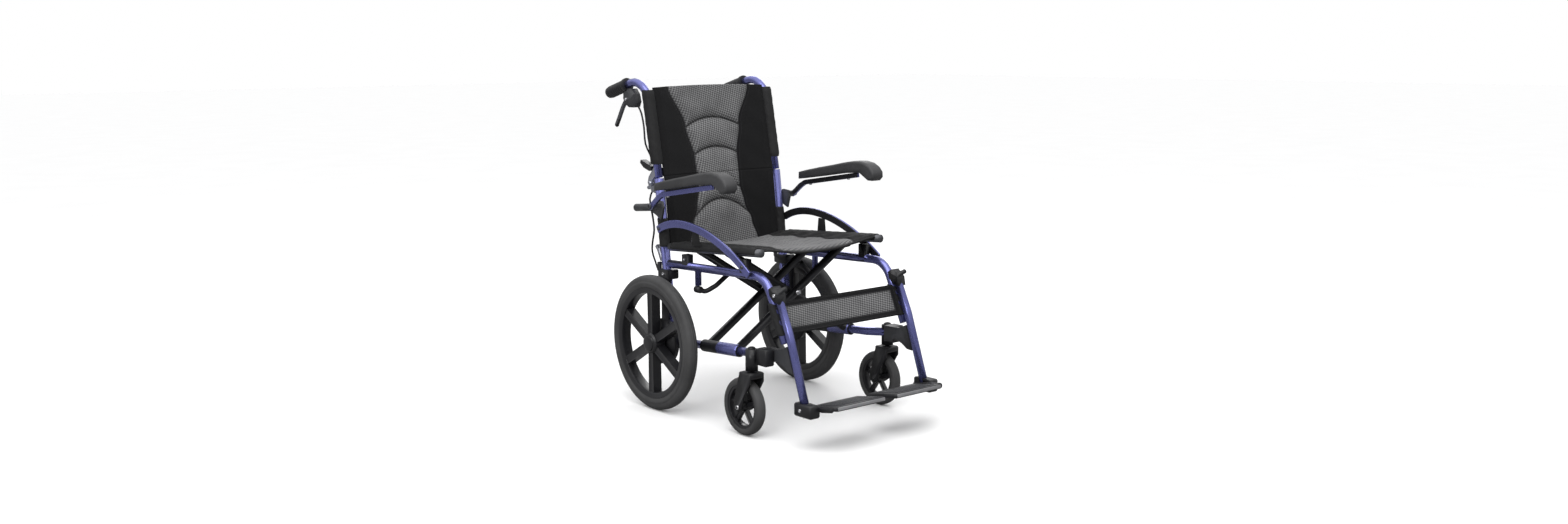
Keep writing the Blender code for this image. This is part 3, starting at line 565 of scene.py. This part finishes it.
# The footplates are black mouldings with raised ribs to hold a shoe, a grey edge trim, and a knuckle that
# turns on the bracket's pin.
TRIM_GREY = grained("grey_edge_trim", (0.30, 0.30, 0.31), 0.32, 900.0, 0.0001, 0.6)
HINGE = Vector((0, -0.580 + AXLE_Y, 0.100))
TOES_UP = Matrix.Translation(HINGE) @ Matrix.Rotation(math.radians(-10), 4,
    "X") @ Matrix.Translation(-HINGE)
for word, side in SIDES:
    dressed(f"{word}_footplate", BLACK_PLASTIC, angle=30)
    for part, surface, slot, blocks, middle, size in (
        ("ribs", GREY_PLASTIC, "grey_plastic", 7, (0.095, -0.560, 0.1064), (0.132, 0.0034, 0.0018)),
        ("trim", TRIM_GREY, "grey_metal", 1, (0.096, -0.6322, 0.1004), (0.150, 0.0022, 0.0075)),
    ):
        shape = bmesh.new()
        for n in range(blocks):
            place = Vector((side * middle[0], middle[1] + AXLE_Y - n * 0.0094, middle[2]))
            for vert in bmesh.ops.create_cube(shape, size=1)["verts"]:
                vert.co = place + Vector(c * s for c, s in zip(vert.co, size))
        bmesh.ops.bevel(
            shape, geom=shape.edges, offset=0.0005, segments=2, profile=0.5, affect="EDGES", material=-1
        )
        bmesh.ops.transform(shape, matrix=TOES_UP, verts=shape.verts)
        piece = object_from(f"{word}_footplate_{part}", shape, surface)
        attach(piece, f"{word}_footplate")


# The upholstery: black nylon round a centre of grey spacer mesh. The mesh is sewn to the nylon and
# quilted by arched seams on the back and waved channels on the seat.
def upholstery(name, mesh_light, mesh_dark, nylon, period):
    """Cloth whose own attributes say where the grey mesh is and how far each seam is, in metres."""
    made, shade, shader = start_material(name, Sheen_Weight=0.04, Sheen_Roughness=0.5,
        Specular_IOR_Level=0.2)
    panel = shade.node("ShaderNodeAttribute", {"attribute_name": "panel"}, output=2)
    seam = shade.node("ShaderNodeAttribute", {"attribute_name": "seam"}, output=2)
    cut = shade.node("ShaderNodeUVMap", {"uv_map": "cut"})
    u, v = cut.axis(0), cut.axis(1)
    slant = shade.maths("SINE", (u + v * 0.62) * (math.tau / period))
    cross = shade.maths("SINE", (v - u * 0.38) * (math.tau / (period * 0.92)))
    cells = (slant * cross).ramp(-0.30, 0.36)
    warp = shade.maths("SINE", u * (math.tau / 0.0016)) * shade.maths("SINE", v * (math.tau / 0.0016))
    cloud = shade.node("ShaderNodeTexNoise", {}, {"Vector": cut, "Scale": 16.0, "Detail": 4.0})
    fluff = shade.node("ShaderNodeTexNoise", {}, {"Vector": cut, "Scale": 900.0, "Detail": 2.0})
    grey = cells.blend(mesh_dark, mesh_light)
    grey = (cloud.ramp(0.35, 0.75) * 0.35).blend(grey, tuple(c * 0.72 for c in mesh_dark))
    black = (warp * 0.3 + fluff * 0.7).ramp(0.2, 0.8).blend(tuple(c * 0.7 for c in nylon),
        tuple(c * 1.5 for c in nylon))
    inside = panel.ramp(-0.0006, 0.0006)
    cloth = inside.blend(black, grey)
    # Painted shade: the cloth darkens almost to black in the sunk groove along each seam, where the quilting
    # dips.
    groove_shade = 1 - seam.ramp(0.0010, 0.0062)
    stitch = shade.maths("SINE", (u + v) * (math.tau / 0.0042)).ramp(-0.2, 0.2)
    near = (1 - (shade.maths("ABSOLUTE", seam - 0.0078)).ramp(0.0004, 0.0009)) * stitch
    cloth = (groove_shade * 0.86).blend(cloth, (0.006, 0.006, 0.007))
    feed(
        shade,
        shader,
        Base_Color=(near * 0.4).blend(cloth, (0.05, 0.05, 0.055)),
        Roughness=0.82 - inside * 0.06 + fluff * 0.1,
        Normal=(cells * inside * 0.75 + warp * (1 - inside) * 0.25 + fluff * 0.25 + near * 0.5).bump(0.55,
        0.0011),
    )
    return made


CLOTH = upholstery("back_cloth", (0.215, 0.215, 0.218), (0.062, 0.062, 0.064), (0.0055, 0.0055, 0.0062),
    0.0104)
SEAT_CLOTH = upholstery("seat_cloth", (0.215, 0.215, 0.218), (0.070, 0.070, 0.072),
    (0.0055, 0.0055, 0.0062), 0.0110)
BINDING = grained("black_nylon_binding", (0.0065, 0.0065, 0.0072), 0.75, 1300.0, 0.0005, 0.0, 0.25)


def smooth_step(value, low, high):
    t = min(1, max(0, (value - low) / (high - low)))
    return t * t * (3 - 2 * t)


def along_table(table, value):
    """The number that a short list of (place, number) pairs gives at a place."""
    for (a, first), (b, second) in zip(table, table[1:]):
        if a <= value <= b:
            return first + (second - first) * smooth_step(value, a, b)
    return table[0][1] if value < table[0][0] else table[-1][1]


def cloth_sheet(name, half, low, high, columns, rows, surface_at, panel_at, seam_at, thick, material):
    """A sheet from a grid in its own cut (u, v), laid by surface_at, its sewing written as attributes."""
    shape = bmesh.new()
    bmesh.ops.create_grid(shape, x_segments=columns, y_segments=rows, size=0.5)
    cut = shape.loops.layers.uv.new("cut")
    panel = shape.verts.layers.float.new("panel")
    seam = shape.verts.layers.float.new("seam")
    flat = {}
    for vert in shape.verts:
        u, v = vert.co.x * 2 * half, low + (vert.co.y + 0.5) * (high - low)
        flat[vert] = (u, v)
        vert[panel], vert[seam] = panel_at(u, v), seam_at(u, v)
    for face in shape.faces:
        for loop in face.loops:
            loop[cut].uv = flat[loop.vert]
    for vert, (u, v) in flat.items():
        vert.co = surface_at(u, v)
    mesh = bpy.data.meshes.new(name)
    shape.to_mesh(mesh)
    shape.free()
    mesh.shade_smooth()
    mesh.materials.append(material)
    made = bpy.data.objects.new(name, mesh)
    bpy.context.collection.objects.link(made)
    wall = made.modifiers.new("thickness", "SOLIDIFY")
    wall.thickness = thick
    wall.offset = 0
    bpy.context.view_layer.objects.active = made
    with bpy.context.temp_override(object=made, active_object=made, selected_objects=[made]):
        bpy.ops.object.modifier_apply(modifier=wall.name)
    return made


# The back: the grey panel is wide at the shoulders, narrow at the waist and wide again at the seat.
WAIST = ((0.418, 0.116), (0.470, 0.101), (0.520, 0.081), (0.572, 0.070), (0.650, 0.0725), (0.735, 0.091),
    (0.842, 0.134))
ARCHES = ((0.755, 0.027, 0.095), (0.676, 0.021, 0.0755), (0.586, 0.022, 0.069), (0.536, 0.031, 0.076))
BACK_SPLIT = 0.609


def back_panel(u, v):
    return along_table(WAIST, v) - abs(u)


def back_seam(u, v):
    nearest = abs(back_panel(u, v))
    for crest, drop, reach in ARCHES:
        if back_panel(u, v) > 0:
            nearest = min(nearest, abs(v - (crest - drop * (u / reach) ** 2)))
    return nearest


def back_puff(u, v):
    """How far the quilting stands out from the cloth's base."""
    if back_panel(u, v) > 0:
        return 0.0125 * (1 - math.exp(-back_seam(u, v) / 0.011))
    edge = min(1, max(0, (0.184 - abs(u)) / 0.02))
    fold = math.sin(v * 61 + abs(u) * 23) * math.sin(v * 23 + u * 41)
    return edge * (0.0045 * (1 - math.exp(-back_seam(u, v) / 0.012)) + 0.0009 * fold)


def back_line(v):
    """The uprights' line, from the axle: the lower half, the hinge and the reclined upper half."""
    lower = 0.007 + (v - 0.324) * 0.125
    upper = 0.0425 + (v - 0.6045) * 0.195
    return lower + (upper - lower) * smooth_step(v, 0.585, 0.625)


def back_surface(u, v):
    bow = 0.013 * (1 - (u / 0.184) ** 2)
    drop = 0.012 * (u / 0.184) ** 2 * smooth_step(v, 0.80, 0.842) * 0.35
    return Vector((u, back_line(v) - 0.0035 + bow - back_puff(u, v) + AXLE_Y, v - drop))


upper_back = cloth_sheet(
    "back_upholstery", 0.1835, BACK_SPLIT, 0.842, 150, 96, back_surface, back_panel, back_seam, 0.0045,
    CLOTH
)
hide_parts("back_sling")
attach(upper_back, "right_back")


def flap_surface(u, v):
    """The lower back, whose hidden top end runs on behind the upper cloth."""
    if v <= BACK_SPLIT - 0.001:
        return back_surface(u, v)
    over = v - (BACK_SPLIT - 0.001)
    ended = back_surface(u, BACK_SPLIT - 0.001)
    return ended + Vector((0, 0.012 * smooth_step(over, 0, 0.006) + over * 0.2, over * 0.9))


lower_back = cloth_sheet(
    "back_skirt", 0.1835, 0.418, BACK_SPLIT + 0.022, 150, 88, flap_surface, back_panel, back_seam, 0.0045,
    CLOTH
)
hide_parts("back_flap")
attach(lower_back, "right_frame")
for piece in (upper_back, lower_back):
    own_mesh(piece)


def skinned(rings):
    """An open tube of faces between rings of points."""
    shape = bmesh.new()
    rows = [[shape.verts.new(point) for point in ring] for ring in rings]
    for first, second in zip(rows, rows[1:]):
        edges = [
            shape.edges.get(pair) or shape.edges.new(pair)
            for row in (first, second)
            for pair in zip(row, row[1:] + row[:1])
        ]
        bmesh.ops.bridge_loops(shape, edges=edges)
    return shape


# Sleeves of the same nylon wrap the uprights, sewn shut along the back. The upper pair are padded.
def sleeve(name, body, low, high, line_at, radius, x):
    rows, sides = 26, 28
    rings = []
    for n in range(rows + 1):
        t = n / rows
        z = low + (high - low) * t
        close = 1 - 0.12 * (1 - smooth_step(t, 0, 0.04)) - 0.12 * smooth_step(t, 0.96, 1)
        ring = []
        for k in range(sides):
            a = math.tau * k / sides
            crease = 0.0006 * math.sin(z * 240 + 3 * a) * math.sin(z * 57)
            r = (radius + crease) * close
            ring.append((x + r * math.cos(a), line_at(z) + r * math.sin(a) + AXLE_Y, z))
        rings.append(ring)
    shape = skinned(rings)
    bmesh.ops.holes_fill(shape, edges=[e for e in shape.edges if e.is_boundary])
    made = object_from(name, shape, BINDING, angle=60)
    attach(made, body)
    return made


for word, side in SIDES:
    sleeve(f"{word}_upper_sleeve", f"{word}_back", 0.640, 0.832, lambda z: 0.0425 + (z - 0.6045) * 0.195,
        0.0165, side * FRAME_X)
    sleeve(f"{word}_lower_sleeve", f"{word}_frame", 0.425, 0.500, lambda z: 0.007 + (z - 0.324) * 0.125,
        0.0140, side * FRAME_X)


# The seat: one sagging sheet screwed along the two seat rails, with waved channels across the mesh.
TILT = math.radians(3.7)
RAIL = 0.248


def rail_place(x, forward, up):
    """A point at a distance forward along the rails and a height square to them."""
    y = -forward * math.cos(TILT) + up * math.sin(TILT)
    z = 0.1773 + forward * math.sin(TILT) + up * math.cos(TILT)
    return Vector((x, y + AXLE_Y, z))


def seat_panel(u, v):
    return min(0.120 + 0.0085 * math.sin(v * 58) - abs(u), v - 0.030, 0.387 - v)


def seat_seam(u, v):
    nearest = abs(seat_panel(u, v))
    if seat_panel(u, v) > 0:
        for n in range(7):
            line = 0.075 + n * 0.043 + 0.006 * math.sin(u * 52 + n * 1.3)
            nearest = min(nearest, abs(v - line) + 0.002)
    return nearest


def seat_surface(u, v):
    half = 0.1875
    sag = 0.018 * (1 - (u / half) ** 2)
    puff = 0.0075 * (1 - math.exp(-seat_seam(u, v) / 0.010)) if seat_panel(u, v) > 0 else 0.0008
    if seat_panel(u, v) <= 0 and abs(u) > 0.1:
        puff += 0.0060 * math.sin(v * 58) ** 2 * smooth_step(0.1875 - abs(u), 0, 0.03)
    front = 0.006 * smooth_step(v, 0.376, 0.392)
    return rail_place(u, v, RAIL + 0.0092 - sag + puff - front)


seat = cloth_sheet("seat_upholstery", 0.1875, 0.036, 0.392, 130, 150, seat_surface, seat_panel, seat_seam,
    0.004, SEAT_CLOTH)
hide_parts("seat_sling")
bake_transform(seat)

for word, side in SIDES:
    rings = []
    for n in range(31):
        forward = 0.036 + 0.352 * n / 30
        ring = []
        for k in range(24):
            a = math.tau * k / 24
            r = 0.0128 + 0.0004 * math.sin(forward * 190 + a)
            ring.append(rail_place(side * FRAME_X + r * math.cos(a), forward, RAIL + r * math.sin(a)))
        rings.append(ring)
    shape = skinned(rings)
    centre = rail_place(side * FRAME_X, 0.2, RAIL)
    rise = Vector((0, math.sin(TILT), math.cos(TILT)))
    below = [f for f in shape.faces if (f.calc_center_median() - centre).dot(rise) < -0.004]
    bmesh.ops.delete(shape, geom=below, context="FACES")
    hem = object_from(f"{word}_seat_hem", shape, BINDING, angle=60)
    wall = hem.modifiers.new("thickness", "SOLIDIFY")
    wall.thickness = 0.0018
    wall.offset = -1
    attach(hem, "brace_a" if side > 0 else "brace_b")


# The calf strap: a band of grey mesh bound in black nylon, looped round both front tubes.
def strap_panel(u, v):
    return min(0.176 - abs(u), v - 0.010, 0.064 - v)


def strap_surface(u, v):
    top, foot = Vector((-0.4365, 0.3375)), Vector((-0.4675, 0.2655))
    at_v = foot + (top - foot) * (v / 0.0745)
    bow = 0.010 * (1 - (u / 0.186) ** 2)
    puff = 0.0022 * (1 - math.exp(-abs(strap_panel(u, v)) / 0.006))
    return Vector((u, at_v.x - 0.002 + bow - puff + AXLE_Y, at_v.y - 0.003 * (1 - (u / 0.186) ** 2)))


strap = cloth_sheet(
    "calf_band", 0.1845, -0.001, 0.0755, 130, 30, strap_surface, strap_panel, lambda u,
    v: abs(strap_panel(u, v)), 0.004, CLOTH
)
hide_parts("calf_strap")
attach(strap, "right_frame")
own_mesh(strap)
for word, side in SIDES:
    sleeve(
        f"{word}_strap_loop", f"{word}_frame", 0.262, 0.336,
        lambda z: -0.4727 + 0.002 + (z - 0.2435) * 0.4665, 0.0138, side * FRAME_X
    )

# Short tabs of nylon hang from the arches beside the seat, doubled over the bar and sewn.
for word, side in SIDES:
    shape = bmesh.new()
    for vert in bmesh.ops.create_cube(shape, size=1)["verts"]:
        wide = 0.026 if vert.co.z > 0 else 0.034
        vert.co = Vector((side * 0.2125 + vert.co.x * 0.0018, -0.137 + AXLE_Y + vert.co.y * wide,
            0.462 + vert.co.z * 0.036))
    bmesh.ops.bevel(shape, geom=shape.edges, offset=0.0007, segments=3, profile=0.5, affect="EDGES",
        material=-1)
    tab = object_from(f"{word}_arch_tab", shape, BINDING)
    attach(tab, f"{word}_frame")

# The floor, white and plain. It bounces only a little light back up at the chair.
ground = bmesh.new()
bmesh.ops.create_grid(ground, x_segments=1, y_segments=1, size=30)
FLOOR, shade, shader = start_material("studio_floor", Roughness=0.8, Specular_IOR_Level=0.0)
where = shade.node("ShaderNodeTexCoord", output=3)
faint = shade.node("ShaderNodeTexNoise", {}, {"Vector": where, "Scale": 3.0}).blend((0.88, 0.88, 0.88),
    (0.92, 0.92, 0.92))
feed(shade, shader, Base_Color=shade.node("ShaderNodeLightPath").blend((0.30, 0.30, 0.30), faint))
floor = object_from("floor", ground, FLOOR)
floor.location.z = -0.0005
